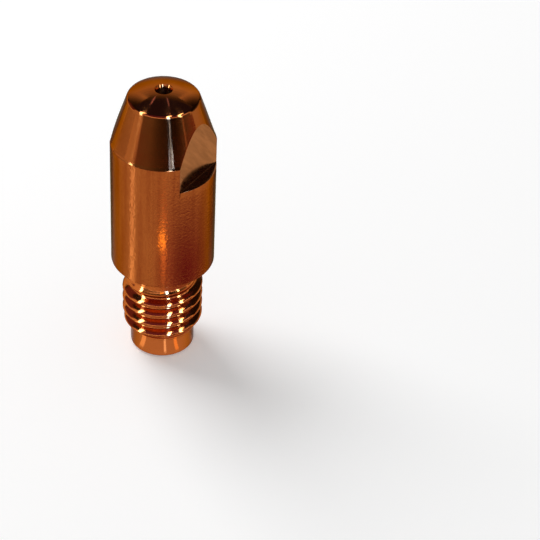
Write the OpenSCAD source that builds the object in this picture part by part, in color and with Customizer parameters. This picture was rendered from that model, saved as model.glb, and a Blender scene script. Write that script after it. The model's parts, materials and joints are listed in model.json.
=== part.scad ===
// Welding contact tip: one turned copper piece that guides the wire and carries the current to it.
// It stands on its pilot, with the nose up. The axis is Z, and Z = 0 is the pilot's end face.
// All lengths are in millimetres.

/* [Body] */
// Diameter of the body
body_d = 10; // [9:0.1:12]
// Length of the body's plain cylinder
body_len = 13.9; // [8:0.1:30]
// Edge break between the body and its seating face
seat_break = 0.2; // [0.05:0.05:0.5]

/* [Nose] */
// Length of the nose cone
cone_len = 4.85; // [3:0.05:8]
// Diameter of the rim where the cone meets the domed end
rim_d = 6.8; // [5.6:0.1:7.6]
// Rounding of that rim
rim_round = 0.25; // [0.05:0.05:0.6]
// Height of the domed end above the rim
dome_rise = 0.85; // [0.4:0.05:1.4]

/* [Spanner flats] */
// Distance across the two flats
flats_across = 7.9; // [7:0.1:9]
// Length of the flats behind the cone
flats_len = 2.65; // [1:0.05:6]

/* [Thread] */
// Outside diameter of the thread
thread_d = 7.88; // [7.6:0.02:8.4]
// Height of the thread from root to crest
thread_depth = 0.7; // [0.4:0.05:0.8]
// Pitch of the right-hand thread
pitch = 1.25; // [1:0.05:1.5]
// Length of the thread, with its run-outs
thread_len = 6.2; // [4:0.1:12]
// Slope of the two run-outs, measured from the axis
runout_angle = 35; // [25:1:60]
// Turn of the thread about the axis
thread_turn = 230; // [0:5:355]

/* [Neck and pilot] */
// Length of the undercut between the thread and the body
neck_len = 1.9; // [1:0.1:4]
// How far the undercut lies below the thread's root
neck_relief = 0.04; // [0.02:0.01:0.3]
// Rounding of the undercut's corner at the body
neck_round = 0.4; // [0.1:0.05:0.8]
// Diameter of the plain pilot at the rear end
pilot_d = 6.3; // [5.4:0.05:6.4]
// Length of the pilot
pilot_len = 2.3; // [1:0.1:5]
// Edge break at the pilot's end
pilot_break = 0.2; // [0.05:0.05:0.5]

/* [Wire bore] */
// Diameter of the bore that guides the wire
bore_d = 1.4; // [0.8:0.05:2]
// Edge break of the bore at the nose
mouth_break = 0.05; // [0.02:0.01:0.15]
// Diameter of the lead-in funnel at the rear end
lead_d = 3.2; // [2.4:0.1:4]
// Included angle of that funnel
lead_angle = 60; // [40:5:90]

/* [Hidden] */
$fn = 96;

// Copper as the part shows it
copper = [0.66, 0.37, 0.17];
// Overlap where one turned stretch runs into the next
bite = 0.1;
// Run-through of a cut past the face that it leaves
clear = 1;

// Heights along the axis
neck_z = pilot_len + thread_len;
seat_z = neck_z + neck_len;
cone_z = seat_z + body_len;
rim_z = cone_z + cone_len;
tip_z = rim_z + dome_rise;
flats_z = cone_z - flats_len;

// Radii
body_r = body_d / 2;
rim_r = rim_d / 2;
pilot_r = pilot_d / 2;
crest_r = thread_d / 2;
root_r = crest_r - thread_depth;
neck_r = root_r - neck_relief;

// Steps of a small rounding
round_steps = 5;

// Points on an arc in the plane of radius and height
function arc(centre, r, from, to, steps) =
    [for (i = [0 : steps]) let (a = from + (to - from) * i / steps) centre + r * [cos(a), sin(a)]];

// Domed end: an arc through the rim with its centre on the axis
dome_r = (rim_r * rim_r + dome_rise * dome_rise) / (2 * dome_rise);
dome_centre = [0, tip_z - dome_r];
dome_steps = 14;

// Rounding of the rim: an arc that touches the cone and the dome
cone_angle = atan((body_r - rim_r) / cone_len);
cone_run = [-sin(cone_angle), cos(cone_angle)];
rim_from_dome = [rim_r, rim_z] - rim_round * [cos(cone_angle), sin(cone_angle)] - dome_centre;
rim_along = rim_from_dome * cone_run;
rim_gap = rim_from_dome * rim_from_dome - (dome_r - rim_round) * (dome_r - rim_round);
rim_offset = rim_from_dome - (rim_along - sqrt(rim_along * rim_along - rim_gap)) * cone_run;
rim_angle = atan2(rim_offset[1], rim_offset[0]);

// Thread form: share of the pitch at which the root, the rising flank, the crest and the falling flank start
thread_shares = [0, 1 / 4, 9 / 16, 11 / 16];
thread_points = len(thread_shares);
thread_steps = 48;
thread_rows = thread_points * (ceil(thread_len / pitch) + 1);

// Height above the thread's lower end of row m, in the column at step i of a turn
function thread_height(i, m) =
    let (turns = floor(m / thread_points) - 1 + thread_shares[m % thread_points] + i / thread_steps)
    min(max(turns * pitch, 0), thread_len);

// Radius of row m at that height: the root, or the crest as far as the run-outs leave it
function thread_radius(h, m) =
    m % thread_points < 2 ? root_r : min(crest_r, root_r + min(h, thread_len - h) * tan(runout_angle));

// Point of row m in that column
function thread_point(i, m) =
    let (h = thread_height(i, m), r = thread_radius(h, m), a = 360 * i / thread_steps)
    [r * cos(a), r * sin(a), h];

// Nose, body and undercut: one profile, from the undercut up to the dome
module front() {
    rotate_extrude()
        polygon(concat(
            [[0, neck_z - bite], [neck_r, neck_z - bite]],
            arc([neck_r + neck_round, seat_z - neck_round], neck_round, 180, 90, round_steps),
            [[body_r - seat_break, seat_z], [body_r, seat_z + seat_break], [body_r, cone_z]],
            arc(dome_centre + rim_offset, rim_round, cone_angle, rim_angle, round_steps),
            arc(dome_centre, dome_r, rim_angle, 90, dome_steps)
        ));
}

// Right-hand thread with its core, as columns of points whose rows follow the helix
module thread() {
    rows = thread_rows + 1;
    last = thread_steps * rows;
    points = [for (i = [0 : thread_steps]) for (m = [0 : thread_rows]) thread_point(i, m)];
    outer = [
        for (i = [0 : thread_steps - 1])
            for (m = [0 : thread_rows - 1])
                let (low = i * rows + m, next = low + rows)
                for (face = [[low, low + 1, next + 1], [low, next + 1, next]])
                    if (points[face[0]] != points[face[1]] && points[face[1]] != points[face[2]]) face
    ];
    foot = [for (i = [0 : rows : last - 1]) i];
    head = [for (i = [last - 1 : -rows : 0]) i];
    polyhedron(points, concat(outer, [foot, head]));
}

// Plain pilot, with its end edge broken
module pilot() {
    rotate_extrude()
        polygon([
            [0, 0],
            [pilot_r - pilot_break, 0],
            [pilot_r, pilot_break],
            [pilot_r, pilot_len + bite],
            [0, pilot_len + bite]
        ]);
}

// Cutters for the two spanner flats, which run out through the cone
module flats() {
    for (side = [0, 180])
        rotate([0, 0, side])
            translate([flats_across / 2, -body_d, flats_z])
                cube([body_d, 2 * body_d, tip_z - flats_z + clear]);
}

// Cutter for the wire's way: the bore, its broken edge at the nose and the funnel at the rear
module wire_way() {
    mouth_z = tip_z - bore_d * bore_d / (8 * dome_r);
    lead_h = (lead_d - bore_d) / 2 / tan(lead_angle / 2);
    translate([0, 0, -clear])
        cylinder(d = bore_d, h = tip_z + 2 * clear);
    translate([0, 0, mouth_z - mouth_break])
        cylinder(d1 = bore_d, d2 = bore_d + 4 * mouth_break, h = 2 * mouth_break);
    cylinder(d1 = lead_d, d2 = bore_d, h = lead_h);
}

module contact_tip() {
    color(copper)
        difference() {
            union() {
                front();
                translate([0, 0, pilot_len])
                    rotate([0, 0, thread_turn])
                        thread();
                pilot();
            }
            flats();
            wire_way();
        }
}

contact_tip();
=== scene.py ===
"""Dresses the contact tip's solid with a finely turned copper piece and stands it in a plain studio."""

import json
from math import acos, atan2, ceil, cos, pi, radians, sin, sqrt, tan

import bmesh
import bpy
from bpy.props import FloatProperty, FloatVectorProperty, PointerProperty
from mathutils import Matrix, Vector


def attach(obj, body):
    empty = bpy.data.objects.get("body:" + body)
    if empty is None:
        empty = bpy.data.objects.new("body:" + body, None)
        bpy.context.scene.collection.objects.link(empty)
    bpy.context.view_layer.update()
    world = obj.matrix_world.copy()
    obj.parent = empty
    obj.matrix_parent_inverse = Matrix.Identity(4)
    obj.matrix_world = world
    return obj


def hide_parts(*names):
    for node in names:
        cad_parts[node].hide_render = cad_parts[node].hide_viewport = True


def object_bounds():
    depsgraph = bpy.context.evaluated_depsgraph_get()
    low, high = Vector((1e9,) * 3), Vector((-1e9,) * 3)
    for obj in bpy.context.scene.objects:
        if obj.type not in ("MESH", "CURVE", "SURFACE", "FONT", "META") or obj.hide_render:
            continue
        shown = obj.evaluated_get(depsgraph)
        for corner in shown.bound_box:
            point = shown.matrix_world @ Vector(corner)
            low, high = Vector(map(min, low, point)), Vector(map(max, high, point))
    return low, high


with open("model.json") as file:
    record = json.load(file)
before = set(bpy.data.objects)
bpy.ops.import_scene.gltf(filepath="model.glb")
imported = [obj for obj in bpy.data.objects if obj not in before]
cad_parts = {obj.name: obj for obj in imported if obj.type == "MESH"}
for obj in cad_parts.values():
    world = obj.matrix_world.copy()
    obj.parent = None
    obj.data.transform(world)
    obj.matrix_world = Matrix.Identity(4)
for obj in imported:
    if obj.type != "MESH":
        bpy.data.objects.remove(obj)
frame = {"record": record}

bl_info = {
    "name": "Turned contact tip",
    "version": (1, 0, 0),
    "blender": (4, 5, 0),
    "location": "3D View > Sidebar > Contact tip",
    "description": "Builds a turned copper contact tip over its solid and sets up a studio for it",
    "category": "Add Mesh",
}

CAD_BOX = [list(corner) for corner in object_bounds()]
MOUNTS = {mount["name"]: mount for mount in frame["record"]["mounts"]}
MM = 0.001

# The photograph's width and the fitted focal length, both in pixels, and the camera's sensor in millimetres
PHOTO_WIDTH = 540
PHOTO_FOCAL = 2000
SENSOR = 36


def mount_size(name, size):
    """A mount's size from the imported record, in metres."""
    return MOUNTS[name]["dims"][size] * MM


def length(label, text, default):
    """A length that the sidebar shows in scene units."""
    return FloatProperty(name=label, description=text, default=default, min=0.0, precision=5, unit="LENGTH")


def signed_length(label, text, default):
    """A length that may also be negative."""
    return FloatProperty(name=label, description=text, default=default, precision=5, unit="LENGTH")


def colour(label, text, default):
    """A colour that the sidebar shows as a swatch, in scene-linear values."""
    return FloatVectorProperty(
        name=label, description=text, default=default, size=3, min=0.0, max=1.0, subtype="COLOR"
    )


def share(label, text, default):
    """A value from nothing to full."""
    return FloatProperty(name=label, description=text, default=default, min=0.0, max=1.0, subtype="FACTOR")


def angle(label, text, degrees):
    """An angle, given in degrees and kept in radians."""
    return FloatProperty(
        name=label, description=text, default=radians(degrees), subtype="ANGLE", unit="ROTATION"
    )


class TipSizes(bpy.types.PropertyGroup):
    """Sizes of the turned piece"""

    body_d: length("Body diameter", "Diameter of the plain body", 2 * CAD_BOX[1][0])
    seat_z: length("Seat height", "Height of the seating face", MOUNTS["seat"]["pos_m"][2])
    seat_break: length("Seat break", "Edge break between body and seat", 0.2 * MM)
    cone_z: length("Cone start", "Height at which the nose cone starts", 24.3 * MM)
    cone_lip: length("Cone lip", "Small step that the tool leaves where the cone meets the body", 0.03 * MM)
    rim_z: length("Rim height", "Height of the rim between cone and dome", 29.15 * MM)
    rim_d: length("Rim diameter", "Diameter of that rim", 6.8 * MM)
    rim_round: length("Rim rounding", "Rounding of that rim", 0.45 * MM)
    dome_z: length("Dome top", "Height of the dome's top, as if the bore were filled", 30 * MM)
    flat_x: length(
        "Flat distance", "Distance of a spanner flat from the axis", MOUNTS["spanner_flat_right"]["pos_m"][0]
    )
    flat_z: length("Flat start", "Height of the flats' shoulders", 21.65 * MM)
    flat_edge: length("Flat edge", "Rounding of the flats' outer edges", 0.02 * MM)
    flat_corner: length("Flat corner", "Rounding that the cutter leaves at the shoulder", 0.02 * MM)
    thread_r: length("Thread radius", "Radius of the thread's crest", mount_size("thread", "r_mm"))
    thread_len: length(
        "Thread length", "Length of the thread with its run-outs", mount_size("thread", "length_mm")
    )
    thread_depth: length("Thread depth", "Height of the thread from root to crest", 0.7 * MM)
    pitch: length("Pitch", "Pitch of the right-hand thread", 1.25 * MM)
    thread_turn: angle("Thread turn", "Turn of the thread about the axis", 230)
    runout: angle("Run-out slope", "Slope of the thread's run-outs, from the axis", 35)
    neck_relief: length("Neck relief", "How far the undercut lies below the root", 0.04 * MM)
    neck_round: length("Neck rounding", "Rounding of the undercut's corner", 0.4 * MM)
    pilot_r: length("Pilot radius", "Radius of the plain pilot", mount_size("pilot", "r_mm"))
    pilot_len: length("Pilot length", "Length of the plain pilot", 2.3 * MM)
    pilot_break: length("Pilot break", "Edge break at the pilot's end", 0.2 * MM)
    bore_r: length("Bore radius", "Radius of the wire's bore", mount_size("wire_bore", "r_mm"))
    mouth_flare: length("Mouth flare", "How far the bore opens out at the nose", 0.14 * MM)
    mouth_depth: length("Mouth depth", "How deep that flare reaches", 0.25 * MM)
    lead_r: length("Funnel radius", "Radius of the lead-in funnel at the rear", 1.6 * MM)
    lead_angle: angle("Funnel angle", "Included angle of that funnel", 60)


class TipFinish(bpy.types.PropertyGroup):
    """Colours and finish of the copper"""

    bright: colour("Bright copper", "Freshly cut copper", (0.385, 0.098, 0.019))
    browned: colour("Browned copper", "Copper that has darkened with handling", (0.270, 0.055, 0.0105))
    edge: colour("Edge tint", "How much of the light at a grazing angle stays", (0.40, 0.42, 0.41))
    paled: colour("Milled copper", "Copper on the milled flats", (0.43, 0.165, 0.062))
    nose_rough: share("Nose roughness", "Roughness of the polished nose", 0.09)
    body_rough: share("Body roughness", "Roughness of the satin body", 0.18)
    flat_rough: share("Flat roughness", "Roughness of the milled flats", 0.14)
    thread_rough: share("Thread roughness", "Roughness of the cut thread", 0.17)
    brushed: share("Turned sheen", "How far the turned lines stretch a highlight", 0.9)


class TipStudio(bpy.types.PropertyGroup):
    """Camera, floor and light"""

    azimuth: angle("Camera azimuth", "Direction that the camera looks from, round the axis", 30.5)
    elevation: angle("Camera elevation", "Height of the camera above the horizon", 39.349)
    roll: angle("Camera roll", "Tilt of the camera about its own axis", 2.897)
    distance: length("Camera distance", "Distance of the camera from what it aims at", 191.943 * MM)
    aim_right: signed_length("Aim right", "How far right of the tip the camera aims", 10.275 * MM)
    aim_up: signed_length("Aim up", "How far above the tip's middle the camera aims", -4.944 * MM)
    lens: FloatProperty(
        name="Lens", description="Focal length on a 36 mm sensor, in millimetres",
        default=PHOTO_FOCAL / PHOTO_WIDTH * SENSOR, subtype="DISTANCE_CAMERA",
    )
    floor: colour("Floor", "Colour of the pale floor", (0.86, 0.86, 0.86))
    level: share("Light level", "Brightness of the room's soft light", 0.36)


# Zones of the turned piece, in the order of its material slots
ZONES = ("dome", "cone", "flat", "body", "rear", "thread", "bore")

# Columns of one half of a ring: across a flat, over one of its two edges, and round to the next flat
FLAT_COLS = 44
EDGE_COLS = 3
ROUND_COLS = 66
HALF_COLS = FLAT_COLS + 2 * EDGE_COLS + ROUND_COLS
RING_COLS = 2 * HALF_COLS

# Rows of one pitch of the thread, where its crest lies in the pitch, and how full its wave is
THREAD_ROWS = 28
CREST_PLACE = 0.625
WAVE_POWER = 0.85

# Rings of each stretch: flats on the body, flats on the cone, the cone above them, rim, dome and bore
BODY_RINGS, FLAT_RINGS, CONE_RINGS, RIM_RINGS, DOME_RINGS, BORE_RINGS = 4, 24, 8, 10, 40, 12

# Rounding of a small edge
SMALL = 0.05 * MM

# Roundings of the cone lip's edge and of its inner corner, as shares of its width
LIP_EDGE, LIP_CORNER = 0.9, 0.2

# Length of the slope from the pilot to the thread's root
PILOT_SLOPE = 0.09 * MM

# Angles of the steps round a quarter of a small edge, in degrees
QUARTER = (0, 30, 60, 90)

# How much of a flat's edge rounding its shoulder gets
SHOULDER_SHARE = 0.4

# Distance within which points are joined, and the angle from which an edge stays sharp
JOIN = 2e-7
SHARP = radians(40)


def rounded(corners):
    """Points of a profile whose corners (across, along, rounding, steps) are replaced by arcs."""
    path = []
    for i, (x, y, r, steps) in enumerate(corners):
        at = Vector((x, y))
        if r == 0 or i in (0, len(corners) - 1):
            path.append(at)
            continue
        before = (Vector(corners[i - 1][:2]) - at).normalized()
        after = (Vector(corners[i + 1][:2]) - at).normalized()
        half = acos(max(-1.0, min(1.0, before.dot(after)))) / 2
        centre = at + (before + after).normalized() * (r / sin(half))
        first = at + before * (r / tan(half)) - centre
        last = at + after * (r / tan(half)) - centre
        sweep = atan2(first.x * last.y - first.y * last.x, first.dot(last))
        for k in range(steps + 1):
            path.append(centre + Matrix.Rotation(sweep * k / steps, 2) @ first)
    return path


def spread(a, b, steps):
    """Values from a towards b, without b."""
    return [a + (b - a) * k / steps for k in range(steps)]


class TipShape:
    """Heights, radii and rings of the turned piece, worked out from its sizes."""

    def __init__(self, s):
        self.s = s
        self.body_r = s.body_d / 2
        self.rim_r = s.rim_d / 2
        self.neck_z = s.pilot_len + s.thread_len
        self.root_r = s.thread_r - s.thread_depth
        self.neck_r = self.root_r - s.neck_relief
        self.lead_h = (s.lead_r - s.bore_r) / tan(s.lead_angle / 2)
        self.dome()
        self.apex_z = s.cone_z + (self.body_r - s.flat_x) / tan(self.slope)
        self.mouth_r = s.bore_r + s.mouth_flare
        self.mouth_z = self.dome_c.y + sqrt(self.dome_r ** 2 - self.mouth_r ** 2)
        self.even = [2 * pi * (k - FLAT_COLS / 2) / RING_COLS for k in range(RING_COLS)]
        self.placed = self.body_angles()

    def dome(self):
        """Dome with its centre on the axis, and the arc at the rim that touches cone and dome."""
        s = self.s
        rise = s.dome_z - s.rim_z
        self.dome_r = (self.rim_r ** 2 + rise ** 2) / (2 * rise)
        self.dome_c = Vector((0, s.dome_z - self.dome_r))
        self.slope = atan2(self.body_r - self.rim_r, s.rim_z - s.cone_z)
        run = Vector((-sin(self.slope), cos(self.slope)))
        face = Vector((cos(self.slope), sin(self.slope)))
        start = Vector((self.rim_r, s.rim_z)) - s.rim_round * face - self.dome_c
        along = start.dot(run)
        gap = start.dot(start) - (self.dome_r - s.rim_round) ** 2
        offset = start - (along - sqrt(along * along - gap)) * run
        self.rim_c = self.dome_c + offset
        self.rim_a = atan2(offset.y, offset.x)

    def corner(self, r):
        """Half width of a flat in a slice of radius r, and the angle at which its round part starts."""
        s = self.s
        y = sqrt(max(0.0, (r - s.flat_edge) ** 2 - (s.flat_x - s.flat_edge) ** 2))
        return y, atan2(y, s.flat_x - s.flat_edge)

    def body_angles(self):
        """Angles of the columns on the body, where they line up with the flats above."""
        y, turn = self.corner(self.body_r)
        edge = atan2(y, self.s.flat_x)
        half = spread(-edge, edge, FLAT_COLS) + spread(edge, turn, EDGE_COLS)
        half += spread(turn, pi - turn, ROUND_COLS) + spread(pi - turn, pi - edge, EDGE_COLS)
        return half + [a + pi for a in half]

    def ring(self, r, z, angles=None):
        """Plain ring."""
        return [Vector((r * cos(a), r * sin(a), z)) for a in angles or self.even]

    def slice(self, r, z):
        """Ring that the two flats cut, with rounded edges."""
        s = self.s
        y, turn = self.corner(r)
        half = [Vector((s.flat_x, v, z)) for v in spread(-y, y, FLAT_COLS)]
        inner = s.flat_x - s.flat_edge
        half += [
            Vector((inner + s.flat_edge * cos(a), y + s.flat_edge * sin(a), z))
            for a in spread(0, turn, EDGE_COLS)
        ]
        half += [Vector((r * cos(a), r * sin(a), z)) for a in spread(turn, pi - turn, ROUND_COLS)]
        half += [
            Vector((-inner + s.flat_edge * cos(a), y + s.flat_edge * sin(a), z))
            for a in spread(pi - turn, pi, EDGE_COLS)
        ]
        return half + [Vector((-p.x, -p.y, z)) for p in half]

    def above_flats(self, r, z, mix):
        """Ring past the flats' ends, whose columns open out evenly again."""
        half = [0.0] * (FLAT_COLS + EDGE_COLS) + spread(0, pi, ROUND_COLS) + [pi] * EDGE_COLS
        closed = half + [a + pi for a in half]
        return self.ring(r, z, [c + (e - c) * mix for c, e in zip(closed, self.even)])

    def shoulder(self):
        """Rings that step in from the body to the two flats."""
        s = self.s
        below = self.ring(self.body_r, s.flat_z, self.placed)
        above = self.slice(self.body_r, s.flat_z + s.flat_corner)
        rows = []
        moves = [("edge", t) for t in QUARTER] + [("face", 0.5)] + [("corner", t) for t in QUARTER]
        for kind, t in moves:
            row = []
            for k in range(RING_COLS):
                c, q = below[k], above[k]
                if k % HALF_COLS > FLAT_COLS:
                    row.append(q if (kind, t) == moves[-1] else c)
                    continue
                inward = Vector((q.x - c.x, q.y - c.y, 0))
                step = inward.normalized()
                # The roundings shrink where the step is narrow
                room = min(1.0, inward.length / (3 * (s.flat_edge + s.flat_corner)))
                out, fit = SHOULDER_SHARE * s.flat_edge * room, s.flat_corner * room
                a = radians(t) if kind != "face" else 0
                if kind == "edge":
                    p = c + step * out * (1 - cos(a)) + Vector((0, 0, out * (sin(a) - 1)))
                elif kind == "face":
                    p = c + inward * t
                else:
                    p = c + inward - step * fit * (1 - sin(a)) + Vector((0, 0, fit * (1 - cos(a))))
                row.append(p)
            rows.append(row)
        return rows


class Loft:
    """Rings joined into one closed skin, with a finish zone for each band."""

    def __init__(self):
        self.mesh = bmesh.new()
        self.last = None

    def band(self, low, high, zone, flat=None):
        """Faces between two rings of vertices."""
        for k in range(RING_COLS):
            n = (k + 1) % RING_COLS
            face = self.mesh.faces.new((low[k], low[n], high[n], high[k]))
            on_flat = flat is not None and k % HALF_COLS < FLAT_COLS
            face.material_index = ZONES.index(flat if on_flat else zone)

    def add(self, points, zone, flat=None):
        """One more ring."""
        ring = [self.mesh.verts.new(p) for p in points]
        if self.last is not None:
            self.band(self.last, ring, zone, flat)
        self.last = ring


def body_rings(shape, loft):
    """Undercut, seat and body, and the shoulders of the flats."""
    s = shape.s
    neck = rounded([
        (shape.root_r, shape.neck_z, 0, 0),
        (shape.neck_r, shape.neck_z + s.neck_relief, SMALL, 3),
        (shape.neck_r, s.seat_z, s.neck_round, 10),
        (shape.body_r - s.seat_break, s.seat_z, SMALL, 4),
        (shape.body_r, s.seat_z + s.seat_break, 2 * SMALL, 4),
        (shape.body_r, s.flat_z - MM, 0, 0),
    ])
    for i, (r, z) in enumerate(neck):
        on_body = r > shape.neck_r + s.neck_round + SMALL
        zone = "body" if i == len(neck) - 1 else "rear"
        loft.add(shape.ring(r, z, shape.placed if on_body else shape.even), zone)
    for i, row in enumerate(shape.shoulder()):
        loft.add(row, "body", "flat" if i else None)


def flat_rings(shape, loft):
    """Up the flats: the body's last stretch, the edge of the cone, and the cone as far as the flats reach."""
    s = shape.s
    start = s.flat_z + s.flat_corner
    edge = rounded([
        (shape.body_r, start, 0, 0),
        (shape.body_r, s.cone_z, LIP_EDGE * s.cone_lip, 4),
        (shape.body_r - s.cone_lip, s.cone_z, LIP_CORNER * s.cone_lip, 2),
        (s.flat_x, shape.apex_z, 0, 0),
    ])[1:-1]
    for k in range(1, BODY_RINGS):
        loft.add(shape.slice(shape.body_r, start + (edge[0].y - start) * k / BODY_RINGS), "body", "flat")
    for i, (r, z) in enumerate(edge):
        loft.add(shape.slice(r, z), "cone" if i > 0 else "body", "flat")
    foot_r, foot_z = edge[-1]
    widest = acos(s.flat_x / foot_r)
    for k in range(1, FLAT_RINGS + 1):
        r = s.flat_x / cos(widest * (1 - k / FLAT_RINGS))
        climb = (foot_r - r) / (foot_r - s.flat_x)
        loft.add(shape.slice(r, foot_z + (shape.apex_z - foot_z) * climb), "cone", "flat")


def nose_rings(shape, loft):
    """Past the flats: the rest of the cone, its rounded rim, the dome and the mouth of the bore."""
    s = shape.s
    rim_start = shape.rim_c + s.rim_round * Vector((cos(shape.slope), sin(shape.slope)))
    for k in range(1, CONE_RINGS):
        p = Vector((s.flat_x, shape.apex_z)).lerp(rim_start, k / CONE_RINGS)
        loft.add(shape.above_flats(p.x, p.y, k / CONE_RINGS), "cone")
    for k in range(RIM_RINGS + 1):
        a = shape.slope + (shape.rim_a - shape.slope) * k / RIM_RINGS
        p = shape.rim_c + s.rim_round * Vector((cos(a), sin(a)))
        loft.add(shape.ring(p.x, p.y), "cone" if k < RIM_RINGS / 2 else "dome")
    mouth_a = acos((shape.mouth_r + SMALL) / shape.dome_r)
    for k in range(1, DOME_RINGS + 1):
        a = shape.rim_a + (mouth_a - shape.rim_a) * k / DOME_RINGS
        p = shape.dome_c + shape.dome_r * Vector((cos(a), sin(a)))
        loft.add(shape.ring(p.x, p.y), "dome")
    mouth = rounded([
        (p.x, p.y, 0, 0),
        (shape.mouth_r, shape.mouth_z, SMALL, 4),
        (s.bore_r, shape.mouth_z - s.mouth_depth, 2 * SMALL, 4),
        (s.bore_r, shape.mouth_z - MM, 0, 0),
    ])[1:-1]
    for r, z in mouth:
        loft.add(shape.ring(r, z), "dome")


def rear_rings(shape, loft):
    """Down the bore and out through the funnel, under the foot and up the pilot."""
    s = shape.s
    for z in spread(shape.mouth_z - MM, shape.lead_h + MM, BORE_RINGS):
        loft.add(shape.ring(s.bore_r, z), "bore")
    rear = rounded([
        (s.bore_r, shape.lead_h + MM, 0, 0),
        (s.bore_r, shape.lead_h, 2 * SMALL, 3),
        (s.lead_r, 0, SMALL, 3),
        (s.pilot_r - s.pilot_break, 0, SMALL, 3),
        (s.pilot_r, s.pilot_break, 2 * SMALL, 3),
        (s.pilot_r, s.pilot_len - PILOT_SLOPE, SMALL / 2, 2),
        (shape.root_r, s.pilot_len, 0, 0),
    ])[1:]
    for r, z in rear:
        loft.add(shape.ring(r, z), "bore" if r < s.lead_r else "rear")


def thread_form(s):
    """Rows of one pitch, a rounded wave, as (height above the pitch's start, height above the root)."""
    rows = []
    for k in range(THREAD_ROWS):
        along = k / THREAD_ROWS
        wave = 0.5 + 0.5 * cos(2 * pi * (along - CREST_PLACE))
        rows.append((along * s.pitch, s.thread_depth * wave ** WAVE_POWER))
    return rows


def thread_skin(shape, loft):
    """Helical thread between the pilot and the undercut, in rows that follow the helix."""
    s = shape.s
    form = thread_form(s)
    turns = ceil(s.thread_len / s.pitch) + 3
    columns, leads = [], []
    for a in shape.even:
        lead = ((a - s.thread_turn) / (2 * pi)) % 1.0
        column = []
        for n in range(turns):
            for rise, out in form:
                h = min(max((n - 2 + lead) * s.pitch + rise, 0.0), s.thread_len)
                kept = min(1.0, min(h, s.thread_len - h) * tan(s.runout) / s.thread_depth)
                r = shape.root_r + out * kept
                column.append(loft.mesh.verts.new((r * cos(a), r * sin(a), s.pilot_len + h)))
        columns.append(column)
        leads.append(lead)
    zone = ZONES.index("thread")
    rows = turns * len(form)
    for k in range(RING_COLS):
        n = (k + 1) % RING_COLS
        jump = len(form) if leads[n] < leads[k] else 0
        for m in range(rows - 1 - jump):
            a, b = columns[k], columns[n]
            face = loft.mesh.faces.new((a[m], b[m + jump], b[m + 1 + jump], a[m + 1]))
            face.material_index = zone


def tip_mesh(sizes):
    """Closed mesh of the whole turned piece."""
    shape = TipShape(sizes)
    loft = Loft()
    for stretch in (body_rings, flat_rings, nose_rings, rear_rings, thread_skin):
        stretch(shape, loft)
    skin = loft.mesh
    bmesh.ops.remove_doubles(skin, verts=skin.verts, dist=JOIN)
    bmesh.ops.recalc_face_normals(skin, faces=skin.faces)
    loose = [e for e in skin.edges if len(e.link_faces) != 2]
    if loose:
        raise RuntimeError(f"the turned piece isn't closed: {len(loose)} open edges")
    for face in skin.faces:
        face.smooth = True
    for edge in skin.edges:
        edge.smooth = edge.calc_face_angle() < SHARP
    mesh = bpy.data.meshes.new("turned_tip")
    skin.to_mesh(mesh)
    skin.free()
    return mesh


class Nodes:
    """Short way to place and join nodes in one tree."""

    def __init__(self, tree):
        self.tree = tree

    def add(self, kind, **settings):
        """New node with the given settings, and with the values or links of its inputs."""
        node = self.tree.nodes.new(kind)
        inputs = settings.pop("inputs", {})
        for name, value in settings.items():
            setattr(node, name, value)
        for name, value in inputs.items():
            self.feed(node.inputs[name], value)
        return node

    def feed(self, socket, value):
        """Links a socket to an output, or sets its plain value."""
        if isinstance(value, bpy.types.NodeSocket):
            self.tree.links.new(value, socket)
        else:
            socket.default_value = value

    def math(self, operation, *values, clamp=False):
        node = self.add("ShaderNodeMath", operation=operation, use_clamp=clamp)
        for socket, value in zip(node.inputs, values):
            self.feed(socket, value)
        return node.outputs[0]

    def span(self, value, low, high):
        """Maps the stretch from low to high onto 0 to 1, smoothly."""
        inputs = {"Value": value, "From Min": low, "From Max": high}
        node = self.add("ShaderNodeMapRange", interpolation_type="SMOOTHSTEP", inputs=inputs)
        return node.outputs["Result"]

    def place(self):
        """Place on the surface, in the piece's own frame."""
        return self.add("ShaderNodeTexCoord").outputs["Object"]

    def stretched(self, vector, scale):
        """Vector with a scale for each axis. A scale below 1 draws a pattern out along that axis."""
        return self.add("ShaderNodeVectorMath", operation="MULTIPLY", inputs={0: vector, 1: scale}).outputs[0]

    def noise(self, vector, scale, detail=2.0, roughness=0.5):
        inputs = {"Vector": vector, "Scale": scale, "Detail": detail, "Roughness": roughness}
        return self.add("ShaderNodeTexNoise", inputs=inputs).outputs["Fac"]

    def blend(self, fac, a, b):
        node = self.add("ShaderNodeMix", data_type="RGBA", inputs={"Factor": fac, "A": a, "B": b})
        return node.outputs["Result"]

    def seen(self):
        """1 for the camera, for metal and for glass, and 0 for the light that falls on things."""
        path = self.add("ShaderNodeLightPath").outputs
        either = self.math("MAXIMUM", path["Is Camera Ray"], path["Is Glossy Ray"])
        return self.math("MAXIMUM", either, path["Is Transmission Ray"])

    def surface(self, shader, kind="ShaderNodeOutputMaterial"):
        """Ends the tree with a shader."""
        self.add(kind, inputs={"Surface": shader.outputs[0]})


def node_group(name, inputs, outputs, build):
    """A shader node group with named sockets, built once."""
    tree = bpy.data.node_groups.get(name)
    if tree:
        return tree
    tree = bpy.data.node_groups.new(name, "ShaderNodeTree")
    for label, kind, value in inputs:
        socket = tree.interface.new_socket(name=label, in_out="INPUT", socket_type=kind)
        socket.default_value = value
    for label, kind in outputs:
        tree.interface.new_socket(name=label, in_out="OUTPUT", socket_type=kind)
    nodes = Nodes(tree)
    source = nodes.add("NodeGroupInput")
    sink = nodes.add("NodeGroupOutput")
    for label, value in build(nodes, source.outputs).items():
        nodes.feed(sink.inputs[label], value)
    return tree


def blank_material(name):
    """New material without nodes, and the means to fill it."""
    material = bpy.data.materials.new(name)
    material.use_nodes = True
    material.node_tree.nodes.clear()
    return material, Nodes(material.node_tree)


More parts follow.
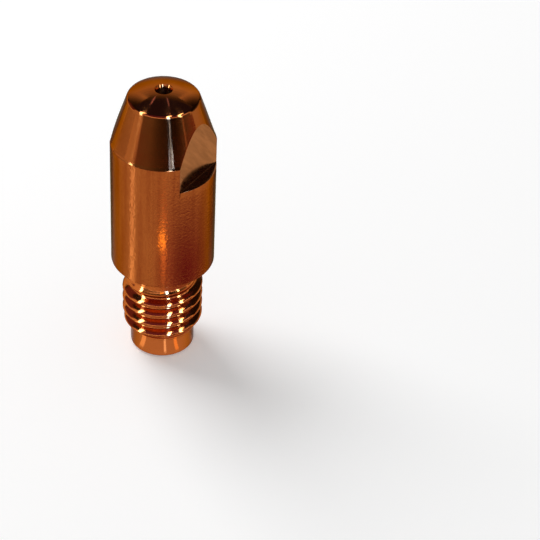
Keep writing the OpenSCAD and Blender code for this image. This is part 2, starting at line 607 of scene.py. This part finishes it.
FLOAT, COLOUR = "NodeSocketFloat", "NodeSocketColor"

# Fineness of the patterns, per metre: sway of the lines, grain, clouds, streaks, and the cutter's marks
SWAY_SCALE, GRAIN_SCALE, CLOUD_SCALE, STREAK_SCALE, MARK_SCALE = 160.0, 9000.0, 260.0, 1500.0, 1700.0

# How far the grain and the streaks are drawn out along the axis
GRAIN_DRAWN, STREAK_DRAWN = 0.22, 0.03

# How far a turned line sways along the profile
LINE_SWAY = 0.04 * MM

# Height that one unit of bump stands for
BUMP_UNIT = 0.001 * MM

# Share of a finish's roughness that is always there, and the share that age and speckle add
ROUGH_BASE = 0.85
ROUGH_WORN = 0.22

# Turn of the stretched highlights, as a share of a full turn
SHEEN_TURN = 0.25

# Slant of the cutter's marks on the flats, how far they are drawn out, and how dark they are
MARK_SLANT = radians(50)
MARK_DRAWN = 0.12
MARK_TONE = 0.78


def turning_lines():
    """Fine rings that a turning tool leaves."""

    def build(nodes, given):
        at = nodes.place()
        part = nodes.add("ShaderNodeSeparateXYZ", inputs={"Vector": at}).outputs
        flat = nodes.add("ShaderNodeCombineXYZ", inputs={"X": part["X"], "Y": part["Y"]}).outputs[0]
        radius = nodes.add("ShaderNodeVectorMath", operation="LENGTH", inputs={"Vector": flat})
        along = nodes.math("SUBTRACT", part["Z"], radius.outputs["Value"])
        path = nodes.math("ADD", along, nodes.math("MULTIPLY", nodes.noise(at, SWAY_SCALE), LINE_SWAY))
        inputs = {"W": path, "Scale": given["Lines per metre"], "Detail": 3.0, "Roughness": 0.6}
        lines = nodes.add("ShaderNodeTexNoise", noise_dimensions="1D", inputs=inputs)
        return {"Height": nodes.math("MULTIPLY", lines.outputs["Fac"], given["Depth"])}

    inputs = [("Lines per metre", FLOAT, 12000.0), ("Depth", FLOAT, 1.0)]
    return node_group("Turning lines", inputs, [("Height", FLOAT)], build)


def copper_tone():
    """Copper that is bright in places and browned in others."""

    def build(nodes, given):
        at = nodes.place()
        drawn, long = (nodes.stretched(at, (1.0, 1.0, scale)) for scale in (GRAIN_DRAWN, STREAK_DRAWN))
        grain = nodes.span(nodes.noise(drawn, GRAIN_SCALE, 3.0, 0.65), 0.3, 0.7)
        clouds = nodes.span(nodes.noise(at, CLOUD_SCALE, 3.0, 0.55), 0.35, 0.68)
        streaks = nodes.span(nodes.noise(long, STREAK_SCALE, 2.0, 0.6), 0.36, 0.64)
        aged = nodes.math("MULTIPLY", clouds, given["Clouds"])
        aged = nodes.math("MULTIPLY_ADD", streaks, given["Streaks"], aged)
        aged = nodes.math("MULTIPLY_ADD", grain, given["Grain"], aged, clamp=True)
        return {"Color": nodes.blend(aged, given["Bright"], given["Browned"]), "Aged": aged}

    inputs = [
        ("Bright", COLOUR, (0.5, 0.15, 0.03, 1)), ("Browned", COLOUR, (0.3, 0.08, 0.02, 1)),
        ("Grain", FLOAT, 0.3), ("Clouds", FLOAT, 0.4), ("Streaks", FLOAT, 0.0),
    ]
    return node_group("Copper tone", inputs, [("Color", COLOUR), ("Aged", FLOAT)], build)


def speckle():
    """Fine mottled texture of a drawn or tumbled surface."""

    def build(nodes, given):
        fine = nodes.noise(nodes.place(), given["Scale"], 1.0, 0.4)
        return {"Height": nodes.math("MULTIPLY", fine, given["Depth"]), "Mask": nodes.span(fine, 0.4, 0.62)}

    inputs = [("Scale", FLOAT, 5200.0), ("Depth", FLOAT, 1.0)]
    return node_group("Speckle", inputs, [("Height", FLOAT), ("Mask", FLOAT)], build)


def opaque(rgb):
    return (*rgb, 1.0)


def toned(rgb, share):
    """Colour made brighter or darker by a share."""
    return [share * part for part in rgb]


def copper(
    name, finish, bright, browned, rough, lines=12000, line_depth=0.5, specks=4000, speck_depth=0.3,
    grain=0.1, clouds=0.4, streaks=0.0, brushed=None,
):
    """One copper finish: tone, turned lines and speckle, with a sheen stretched across the lines."""
    material, nodes = blank_material(name)
    shades = {"Bright": opaque(bright), "Browned": opaque(browned)}
    shares = {"Grain": grain, "Clouds": clouds, "Streaks": streaks}
    tone = nodes.add("ShaderNodeGroup", node_tree=copper_tone(), inputs={**shades, **shares}).outputs
    spacing = {"Lines per metre": lines, "Depth": line_depth}
    turned = nodes.add("ShaderNodeGroup", node_tree=turning_lines(), inputs=spacing).outputs
    spots = {"Scale": specks, "Depth": speck_depth}
    mottled = nodes.add("ShaderNodeGroup", node_tree=speckle(), inputs=spots).outputs
    height = nodes.math("ADD", turned["Height"], mottled["Height"])
    worn = nodes.math("MULTIPLY", nodes.math("ADD", tone["Aged"], mottled["Mask"]), ROUGH_WORN)
    roughness = nodes.math("MULTIPLY", nodes.math("ADD", worn, ROUGH_BASE), rough)
    metal(nodes, finish, tone["Color"], roughness, height, finish.brushed if brushed is None else brushed)
    return material


def metal(nodes, finish, tone, roughness, height, brushed):
    """Copper shader with its bump. A turned surface stretches the highlights across its lines."""
    bump = nodes.add("ShaderNodeBump", inputs={"Strength": 1.0, "Distance": BUMP_UNIT, "Height": height})
    shader = nodes.add("ShaderNodeBsdfPrincipled", inputs={
        "Metallic": 1.0, "Specular Tint": opaque(finish.edge),
        "Base Color": tone, "Roughness": roughness, "Normal": bump.outputs["Normal"],
    })
    if brushed > 0:
        shader.inputs["Anisotropic"].default_value = brushed
        shader.inputs["Anisotropic Rotation"].default_value = SHEEN_TURN
        tangent = nodes.add("ShaderNodeTangent", direction_type="RADIAL", axis="Z")
        nodes.feed(shader.inputs["Tangent"], tangent.outputs["Tangent"])
    nodes.surface(shader)


def milled_copper(name, finish):
    """Flats: pale copper with the slanting marks of the cutter."""
    material, nodes = blank_material(name)
    slant = {"Vector": nodes.place(), "Angle": MARK_SLANT}
    turned = nodes.add("ShaderNodeVectorRotate", rotation_type="X_AXIS", inputs=slant).outputs[0]
    drawn = nodes.stretched(turned, (1.0, MARK_DRAWN, 1.0))
    wide = nodes.noise(drawn, MARK_SCALE, 3.0, 0.6)
    fine = nodes.noise(drawn, GRAIN_SCALE)
    marks = nodes.span(nodes.math("MULTIPLY_ADD", fine, 0.3, nodes.math("MULTIPLY", wide, 0.7)), 0.38, 0.64)
    tone = nodes.blend(marks, opaque(finish.paled), opaque(toned(finish.paled, MARK_TONE)))
    roughness = nodes.math("MULTIPLY_ADD", marks, 0.5 * finish.flat_rough, finish.flat_rough)
    metal(nodes, finish, tone, roughness, nodes.math("MULTIPLY", fine, 0.6), 0.0)
    return material


def copper_finishes(f):
    """The finish of each zone, in the order of ZONES. The rear and the thread get lit copies of the copper,
    painted brighter than the rest.
    """
    bright, browned = f.bright, f.browned
    return [
        copper("faced_dome", f, bright, browned, f.nose_rough, lines=16000, speck_depth=0.2, clouds=0.5),
        copper(
            "turned_cone", f, toned(bright, 0.93), browned, f.nose_rough,
            lines=7000, line_depth=3.8, speck_depth=0.2,
        ),
        milled_copper("milled_flat", f),
        copper(
            "satin_body", f, bright, browned, f.body_rough, lines=7000, line_depth=4.0, speck_depth=20.0,
            grain=0.4, clouds=0.15, streaks=0.5, brushed=0.45,
        ),
        # Painted light: the rear's copper is a lit copy, 1.35 times the bright copper, brighter than the rest
        # of the piece
        copper("turned_rear_painted_light", f, toned(bright, 1.35), bright, f.thread_rough, line_depth=0.8),
        # Painted light: the thread's copper is a lit copy, both its tones 1.45 and 1.2 times the bright
        # copper
        copper("cut_thread_painted_light", f, toned(bright, 1.45), toned(bright, 1.2), 0.65 * f.thread_rough),
        copper(
            "drilled_bore", f, bright, browned, 1.2 * f.thread_rough,
            lines=9000, line_depth=1.0, speck_depth=0.5, clouds=0.6,
        ),
    ]


class TIP_OT_turned_piece(bpy.types.Operator):
    """Build the turned copper piece over the contact tip's solid"""

    bl_idname = "contact_tip.turned_piece"
    bl_label = "Turned piece"

    def execute(self, context):
        mesh = tip_mesh(context.scene.tip_sizes)
        for material in copper_finishes(context.scene.tip_finish):
            mesh.materials.append(material)
        piece = bpy.data.objects.new("turned_tip", mesh)
        context.scene.collection.objects.link(piece)
        weighted = piece.modifiers.new("Even sheen", "WEIGHTED_NORMAL")
        weighted.mode = "FACE_AREA"
        weighted.keep_sharp = True
        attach(piece, "root")
        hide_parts("contact_tip")
        return {"FINISHED"}


def view_axes(studio):
    """Right, up and back of the camera, without its roll."""
    a, e = studio.azimuth, studio.elevation
    right = Vector((cos(a), sin(a), 0))
    back = Vector((sin(a) * cos(e), -cos(a) * cos(e), sin(e)))
    return right, back.cross(right), back


def photo_camera(studio):
    """Camera at the photograph's angle."""
    right, up, back = view_axes(studio)
    c, s = cos(studio.roll), sin(studio.roll)
    side, top = c * right + s * up, c * up - s * right
    place = raised(MIDDLE_Z) + studio.aim_right * side + studio.aim_up * top + studio.distance * back
    lens = bpy.data.cameras.new("photo_camera")
    lens.sensor_width = SENSOR
    lens.lens = studio.lens
    lens.clip_start = 1 * MM
    camera = bpy.data.objects.new("photo_camera", lens)
    camera.matrix_world = Matrix.Translation(place) @ Matrix((side, top, back)).transposed().to_4x4()
    studio.id_data.collection.objects.link(camera)
    studio.id_data.camera = camera


def grey(level):
    return (level, level, level)


def raised(height):
    """Place on the axis at a height."""
    return Vector((0, 0, height))


def towards(studio, bearing, rise=0):
    """Direction at a bearing to the right of the camera's side and a rise above the horizon, in degrees."""
    a = studio.azimuth - pi / 2 + radians(bearing)
    e = radians(rise)
    return Vector((cos(a) * cos(e), sin(a) * cos(e), sin(e)))


# Heights on the axis: the tip's middle, where the strips are aimed, where the lamp is aimed, and the dome
MIDDLE_Z = 15 * MM
STRIP_Z = 14 * MM
LAMP_Z = 20 * MM
DOME_Z = 30 * MM

# Corners of a card, as signs along its two sides
CORNERS = ((-1, -1), (1, -1), (1, 1), (-1, 1))

# Half width of the floor, how far it lies below the foot, and how bright it shows of its own
FLOOR_HALF = 2.0
FLOOR_Z = -0.02 * MM
FLOOR_GLOW = 0.25

# Heights of the layers of cards on the floor
RING_LIFT, PATCH_LIFT, CARD_LIFT = 0.03 * MM, 0.05 * MM, 0.1 * MM

# Lamp: bearing, rise, distance, side, and how bright it looks with 1 as white
KEY_BEARING, KEY_RISE, KEY_REACH, KEY_SIDE, KEY_GLOW = -130, 48, 0.6, 0.4, 4.2

# Distance of the strips from the axis, and of the screen in front
STRIP_REACH = 0.25
SCREEN_REACH = 0.29

# Screen in front: its grey at some bearings, half width of a board, height of its top and of the band's top
SCREEN_GREY = (
    (-62, [0.30]), (-28, [0.26]), (-12, [0.13]), (0, [0.08]),
    (20, [0.025]), (36, [0.03]), (56, [0.13]), (84, [0.32]),
)
SCREEN_STEP = 4
SCREEN_HALF = 0.0103
SCREEN_TOP, BAND_TOP = 0.19, 0.25
BAND_TINT = (2.2, 2.4, 3.4)

# Tint of the small frame, and the heights of its opening
FRAME_TINT = (5, 17, 80)
FRAME_LOW, FRAME_HIGH = 24.45 * MM, 25.5 * MM

# Upright cards: name, bearing, distance from the axis, half width, bottom, top and tint
UPRIGHT_CARDS = (
    ("right_card", 117, 0.28, 0.135, 0.10, 0.40, grey(0.02)),
    ("right_skirt", 117, 0.28, 0.135, 0.03, 0.10, grey(0.45)),
    ("left_card", -114, 0.28, 0.125, 0.23, 0.40, grey(0.03)),
    ("left_skirt", -114, 0.28, 0.125, 0.19, 0.23, grey(0.5)),
    ("left_low_card", -111, 0.275, 0.102, 0.08, 0.235, (0.20, 0.08, 0.16)),
    ("left_low_strip", -60, STRIP_REACH, 0.024, 0.0, 0.032, grey(1.2)),
    ("white_low_strip", 20, STRIP_REACH, 0.0013, 0.0, 0.030, (2.0, 5.6, 20)),
    ("white_mid_strip", 20, STRIP_REACH, 0.0015, 0.030, 0.060, (4, 13, 56)),
    ("right_low_strip", 57, STRIP_REACH, 0.008, 0.0, 0.032, (0.6, 0.5, 0.5)),
    ("frame_back", 18.2, 20.3 * MM, 1.4 * MM, FRAME_LOW, FRAME_HIGH, (0.05, 0.04, 0.05)),
    ("frame_left", 15.6, 20 * MM, 0.2 * MM, FRAME_LOW, FRAME_HIGH, toned(FRAME_TINT, 0.65)),
    ("frame_right", 21.2, 20 * MM, 0.3 * MM, FRAME_LOW, FRAME_HIGH, toned(FRAME_TINT, 0.9)),
    ("frame_bottom", 18.4, 20 * MM, 1.1 * MM, FRAME_LOW - 0.06 * MM, FRAME_LOW, toned(FRAME_TINT, 0.25)),
    ("frame_top", 18.4, 20 * MM, 1.1 * MM, FRAME_HIGH, FRAME_HIGH + 0.05 * MM, toned(FRAME_TINT, 0.08)),
)

# Fades at the back: name, bearing of the first board, step to the next one, and bottom
BACK_FADES = (("right_fade", 141, 3, 0.0), ("left_fade", -132, -3, 0.10))
FADE_BOARDS = 7
FADE_DARK, FADE_STEP, FADE_PALE = 0.04, 0.024, 0.9
FADE_REACH, FADE_HALF, FADE_TOP = 0.27, 0.0072, 0.38

# Strips that climb: name, half width, tint and the directions they go through (bearing, rise)
CLIMBING_STRIPS = (
    ("left_strip", 0.015, (9, 18, 32), [(-62, 6), (-64, 24), (-72, 39), (-86, 54)]),
    ("left_high_strip", 0.015, (12, 17, 24), [(-86, 54), (-97, 62), (-102, 65)]),
    ("white_strip", 0.013, (7, 24, 90), [(18.9, 17), (18.5, 32), (18.3, 50)]),
    ("white_high_strip", 0.013, (16, 22, 36), [(18.3, 50), (27, 69), (58, 79), (70, 81)]),
    ("right_strip", 0.013, (9, 18, 32), [(55, 14), (54, 30), (56, 44), (70, 60)]),
    ("right_high_strip", 0.013, (12, 17, 24), [(70, 60), (94, 64), (106, 65)]),
)

# Roof: its height and half width, and its cards as name, front edge, back edge and tint
ROOF_Z, ROOF_HALF = 0.33, 0.40
ROOF_CARDS = (
    ("front_roof_card", 0.35, 0.05, (0.20, 0.065, 0.26)),
    ("roof_card", 0.05, -0.20, (0.034, 0.034, 0.11)),
    ("roof_fade_a", -0.20, -0.24, grey(0.10)),
    ("roof_fade_b", -0.24, -0.28, grey(0.24)),
    ("roof_fade_c", -0.28, -0.34, grey(0.42)),
    ("roof_fade_d", -0.34, -0.42, grey(0.60)),
    ("roof_fade_e", -0.42, -0.54, grey(0.78)),
)

# Lines under the roof: height above the dome, half width, and name, two ends (bearing, rise) and tint of each
LINE_RISE, LINE_HALF = 0.29, 0.004
ROOF_LINES = (
    ("left_roof_line", (-161.8, 51.1), (-145.2, 61.1), (1.0, 0.9, 2.4)),
    ("right_roof_line", (178.0, 54.9), (166.1, 69.3), (0.5, 0.5, 1.4)),
)

# Wedges on the floor: name, bearing, half angle, near edge, far edge and tint
FLOOR_CARDS = (
    ("gold_floor_card", -61, 3.1, 0.010, 0.060, (2.7, 3.4, 4.4)),
    ("gold_wide_card", -55, 3.0, 0.012, 0.021, (1.7, 1.9, 2.1)),
    ("gold_foot_card", -45, 6, 0.0036, 0.006, (1.9, 2.1, 2.8)),
    ("pale_foot_card", 10.6, 2.5, 0.0036, 0.006, (2.2, 2.9, 4.6)),
    ("warm_foot_card", 37.6, 4, 0.0036, 0.006, (2.1, 1.7, 1.2)),
    ("right_floor_card", 117, 13, 0.012, 0.027, (0.70, 0.66, 0.90)),
    ("left_floor_card", -96, 17, 0.090, 0.240, (0.76, 0.74, 0.72)),
    ("glow_floor_card", 5.8, 4, 0.0200, 0.0290, (1.9, 1.3, 1.0)),
)

# Rings on the floor: name, first and last bearing, near edge, far edge and tint, then a wedge's half angle
FLOOR_RINGS = (
    ("foot_ring", -90, 90, 0.0033, 0.0066, (0.92, 0.88, 1.00)),
    ("thread_ring", -90, 110, 0.0066, 0.0145, (0.30, 0.10, 0.08)),
    ("edge_ring", 130, 230, 0.012, 0.052, (0.36, 0.26, 0.12)),
    ("back_ring", 130, 230, 0.052, 0.300, (0.60, 0.57, 0.53)),
    ("far_ring", -60, 90, 0.100, 0.285, (0.34, 0.14, 0.16)),
)
RING_HALF = 5

# Red patch on the floor, a painted reflection and shade that reddens and darkens the body's lower right: tint
# at some bearings, then its rings as near edge, far edge and share of the fade
RED_TINTS = (
    (-18, [1.0, 1.0, 1.0]), (4, [0.76, 0.53, 0.64]), (20, [0.56, 0.28, 0.46]), (36, [0.36, 0.1, 0.3]),
    (52, [0.28, 0.0, 0.2]), (68, [0.36, 0.1, 0.3]), (84, [0.44, 0.22, 0.44]), (104, [0.64, 0.5, 0.7]),
)
RED_RINGS = ((0.016, 0.022, 0.0), (0.022, 0.026, 0.2), (0.026, 0.030, 0.4), (0.030, 0.034, 0.65))
RED_FADE = 0.9
RED_HALF = 2.5
RED_BEARINGS = range(-17, 104, 5)

# Warm card near the body: the height it is aimed from, its direction, distance, half sides and tint
GLOW_Z = 16.2 * MM
GLOW_BEARING, GLOW_RISE, GLOW_REACH = 5, -38, 6 * MM
GLOW_WIDE, GLOW_HIGH = 0.9 * MM, 0.5 * MM
GLOW_TINT = (5.0, 4.5, 1.6)


def key_lamp(studio):
    """Square lamp aimed at the tip, which the metal doesn't show."""
    light = bpy.data.lights.new("soft_key", "AREA")
    light.shape = "RECTANGLE"
    light.size = light.size_y = KEY_SIDE
    light.energy = KEY_GLOW * 4 * KEY_SIDE * KEY_SIDE
    holder = bpy.data.objects.new("soft_key", light)
    way = towards(studio, KEY_BEARING, KEY_RISE)
    holder.location = raised(LAMP_Z) + way * KEY_REACH
    holder.rotation_euler = way.to_track_quat("Z", "Y").to_euler()
    holder.visible_camera = False
    holder.visible_glossy = False
    studio.id_data.collection.objects.link(holder)


def floor_material(name, rgb, glow):
    """Matte colour, clear from below, that also shows at a level of its own to camera, metal and glass."""
    material, nodes = blank_material(name)
    matte = nodes.add("ShaderNodeBsdfDiffuse", inputs={"Color": opaque(rgb)})
    strength = nodes.math("MULTIPLY", nodes.seen(), glow)
    shine = nodes.add("ShaderNodeEmission", inputs={"Color": opaque(grey(1)), "Strength": strength})
    both = nodes.add("ShaderNodeAddShader", inputs={0: matte.outputs[0], 1: shine.outputs[0]})
    below = nodes.add("ShaderNodeNewGeometry").outputs["Backfacing"]
    clear = nodes.add("ShaderNodeBsdfTransparent")
    sides = {"Fac": below, 1: both.outputs[0], 2: clear.outputs[0]}
    nodes.surface(nodes.add("ShaderNodeMixShader", inputs=sides))
    return material


def stage_piece(studio, name, corners, material, faces):
    """Piece of the stage through the given corners."""
    mesh = bpy.data.meshes.new(name)
    mesh.from_pydata(corners, [], faces)
    mesh.materials.append(material)
    piece = bpy.data.objects.new(name, mesh)
    studio.id_data.collection.objects.link(piece)
    return piece


def card_colour(name, tint):
    """Plain card that shows as one colour to whatever reflects it."""
    material, nodes = blank_material(name)
    top = max(tint)
    shown = {"Color": opaque([part / top for part in tint]), "Strength": top}
    nodes.surface(nodes.add("ShaderNodeEmission", inputs=shown))
    return material


def card(studio, name, corners, tint, faces=((0, 1, 2, 3),)):
    """Card that only the metal's reflections show, with four corners unless faces says otherwise."""
    piece = stage_piece(studio, name, corners, card_colour(name, tint), faces)
    piece.visible_camera = False
    piece.visible_diffuse = False
    piece.visible_shadow = False


def upright_card(studio, name, bearing, reach, half, low, high, tint):
    """Upright card that faces the tip."""
    out = towards(studio, bearing)
    side = Vector((-out.y, out.x, 0))
    ends = {-1: low, 1: high}
    card(studio, name, [out * reach + side * x * half + raised(ends[z]) for x, z in CORNERS], tint)


def roof_card(studio, name, front, back, tint):
    """Level card above the tip, from its front edge to its back edge."""
    out = towards(studio, 0)
    side = Vector((-out.y, out.x, 0))
    ends = {-1: front, 1: back}
    card(studio, name, [out * ends[y] + side * x * ROOF_HALF + raised(ROOF_Z) for x, y in CORNERS], tint)


def floor_card(studio, name, bearing, half, near, far, tint, lift):
    """Wedge of card that lies round the tip on the floor, between two distances from the axis."""
    ends = {-1: near, 1: far}
    corners = [towards(studio, bearing + x * half) * ends[y] + raised(lift) for y, x in CORNERS]
    card(studio, name, corners, tint)


def climbing_strip(studio, name, half, tint, bends):
    """Bright strip that climbs through the given directions (bearing, rise)."""
    middle = [raised(STRIP_Z) + towards(studio, bearing, rise) * STRIP_REACH for bearing, rise in bends]
    corners, faces = [], []
    for k, place in enumerate(middle):
        run = middle[min(k + 1, len(middle) - 1)] - middle[max(k - 1, 0)]
        side = run.cross(place).normalized() * half
        corners += [place - side, place + side]
        if k:
            faces.append((2 * k - 2, 2 * k - 1, 2 * k + 1, 2 * k))
    card(studio, name, corners, tint, faces)


def roof_line(studio, name, start, end, tint):
    """Narrow strip just under the roof between two directions (bearing, rise) from the dome."""
    a, b = (towards(studio, bearing) * (LINE_RISE / tan(radians(rise))) for bearing, rise in (start, end))
    side = (b - a).normalized().cross(raised(1)) * LINE_HALF
    up = raised(LINE_RISE + DOME_Z)
    card(studio, name, [a - side + up, a + side + up, b + side + up, b - side + up], tint)


def graded(table, at):
    """Value at a place in a table of (place, value), evenly between its rows."""
    for (low, a), (high, b) in zip(table, table[1:]):
        if at <= high:
            mix = max(0.0, (at - low) / (high - low))
            return [x + (y - x) * mix for x, y in zip(a, b)]
    return table[-1][1]


def front_screen(studio):
    """Screen that the cone reflects, grey at its ends and nearly black between them, under a pale band."""
    first, last = SCREEN_GREY[0][0], SCREEN_GREY[-1][0]
    for bearing in range(first, last + 1, SCREEN_STEP):
        dark = grey(graded(SCREEN_GREY, bearing)[0])
        rows = (("screen", 0.0, SCREEN_TOP, dark), ("band", SCREEN_TOP, BAND_TOP, BAND_TINT))
        for row, low, high, tint in rows:
            name = f"{row}_{bearing - first}"
            upright_card(studio, name, bearing, SCREEN_REACH, SCREEN_HALF, low, high, tint)


def back_fades(studio):
    """Boards at the back that pale step by step, so that the dome shows no hard edge there."""
    for step in range(FADE_BOARDS):
        tint = grey(min(FADE_DARK + FADE_STEP * step ** 2, FADE_PALE))
        for fade, first, turn, low in BACK_FADES:
            name, bearing = f"{fade}_{step}", first + turn * step
            upright_card(studio, name, bearing, FADE_REACH, FADE_HALF, low, FADE_TOP, tint)


def floor_cards(studio):
    """Cards on the floor, in three layers: single wedges, the red patch of painted reflection and shade, and
    the rings.
    """
    for name, bearing, half, near, far, tint in FLOOR_CARDS:
        floor_card(studio, name, bearing, half, near, far, tint, CARD_LIFT)
    for bearing in RED_BEARINGS:
        deep = graded(RED_TINTS, bearing)
        for k, (near, far, pale) in enumerate(RED_RINGS):
            tint = [d + (RED_FADE - d) * pale for d in deep]
            # Each piece of the red patch paints reflection and shade into the body's lower right
            name = f"red_floor_{bearing}_{k}"
            floor_card(studio, name, bearing, RED_HALF, near, far, tint, PATCH_LIFT)
    for ring, first, last, near, far, tint in FLOOR_RINGS:
        for bearing in range(first + RING_HALF, last, 2 * RING_HALF):
            name = f"{ring}_{bearing - first}"
            floor_card(studio, name, bearing, RING_HALF, near, far, tint, RING_LIFT)


def near_glow(studio):
    """Small warm card close to the body, which shows as a compact glow low on its front."""
    start = towards(studio, 0) * studio.id_data.tip_sizes.body_d / 2 + raised(GLOW_Z)
    way = towards(studio, GLOW_BEARING, GLOW_RISE)
    side = Vector((-way.y, way.x, 0)).normalized() * GLOW_WIDE
    top = way.cross(side).normalized() * GLOW_HIGH
    centre = start + way * GLOW_REACH
    card(studio, "near_glow", [centre + side * x + top * y for x, y in CORNERS], GLOW_TINT)


def soft_room(studio):
    """White room for the camera, metal and glass, and a softer level for the light that it gives."""
    world = bpy.data.worlds.new("soft_room")
    studio.id_data.world = world
    world.use_nodes = True
    nodes = Nodes(world.node_tree)
    world.node_tree.nodes.clear()
    level = nodes.math("MULTIPLY_ADD", nodes.seen(), 1.0 - studio.level, studio.level)
    sky = nodes.add("ShaderNodeBackground", inputs={"Color": opaque(grey(1)), "Strength": level})
    nodes.surface(sky, "ShaderNodeOutputWorld")


class TIP_OT_studio(bpy.types.Operator):
    """Set up the floor, cards, lamp and camera"""

    bl_idname = "contact_tip.studio"
    bl_label = "Studio"

    def execute(self, context):
        studio = context.scene.tip_studio
        context.scene.view_settings.view_transform = "Standard"
        photo_camera(studio)
        soft_room(studio)
        corners = [(x * FLOOR_HALF, y * FLOOR_HALF, FLOOR_Z) for x, y in CORNERS]
        pale = floor_material("pale_floor", studio.floor, FLOOR_GLOW)
        stage_piece(studio, "floor", corners, pale, [(0, 1, 2, 3)])
        front_screen(studio)
        back_fades(studio)
        for make, rows in (
            (upright_card, UPRIGHT_CARDS), (climbing_strip, CLIMBING_STRIPS),
            (roof_line, ROOF_LINES), (roof_card, ROOF_CARDS),
        ):
            for row in rows:
                make(studio, *row)
        floor_cards(studio)
        near_glow(studio)
        key_lamp(studio)
        return {"FINISHED"}


class TIP_PT_panel(bpy.types.Panel):
    """Sidebar panel of the contact tip"""

    bl_idname = "TIP_PT_panel"
    bl_label = "Contact tip"
    bl_space_type = "VIEW_3D"
    bl_region_type = "UI"
    bl_category = "Contact tip"

    def draw(self, context):
        layout = self.layout
        for group in (context.scene.tip_sizes, context.scene.tip_finish, context.scene.tip_studio):
            column = layout.column(align=True)
            for name in group.__annotations__:
                column.prop(group, name)
        layout.operator(TIP_OT_turned_piece.bl_idname)
        layout.operator(TIP_OT_studio.bl_idname)


CLASSES = (TipSizes, TipFinish, TipStudio, TIP_OT_turned_piece, TIP_OT_studio, TIP_PT_panel)


def register():
    for cls in CLASSES:
        bpy.utils.register_class(cls)
    bpy.types.Scene.tip_sizes = PointerProperty(type=TipSizes)
    bpy.types.Scene.tip_finish = PointerProperty(type=TipFinish)
    bpy.types.Scene.tip_studio = PointerProperty(type=TipStudio)


def unregister():
    del bpy.types.Scene.tip_studio
    del bpy.types.Scene.tip_finish
    del bpy.types.Scene.tip_sizes
    for cls in reversed(CLASSES):
        bpy.utils.unregister_class(cls)


def main():
    register()
    bpy.ops.contact_tip.turned_piece()
    bpy.ops.contact_tip.studio()


if __name__ == "__main__":
    main()
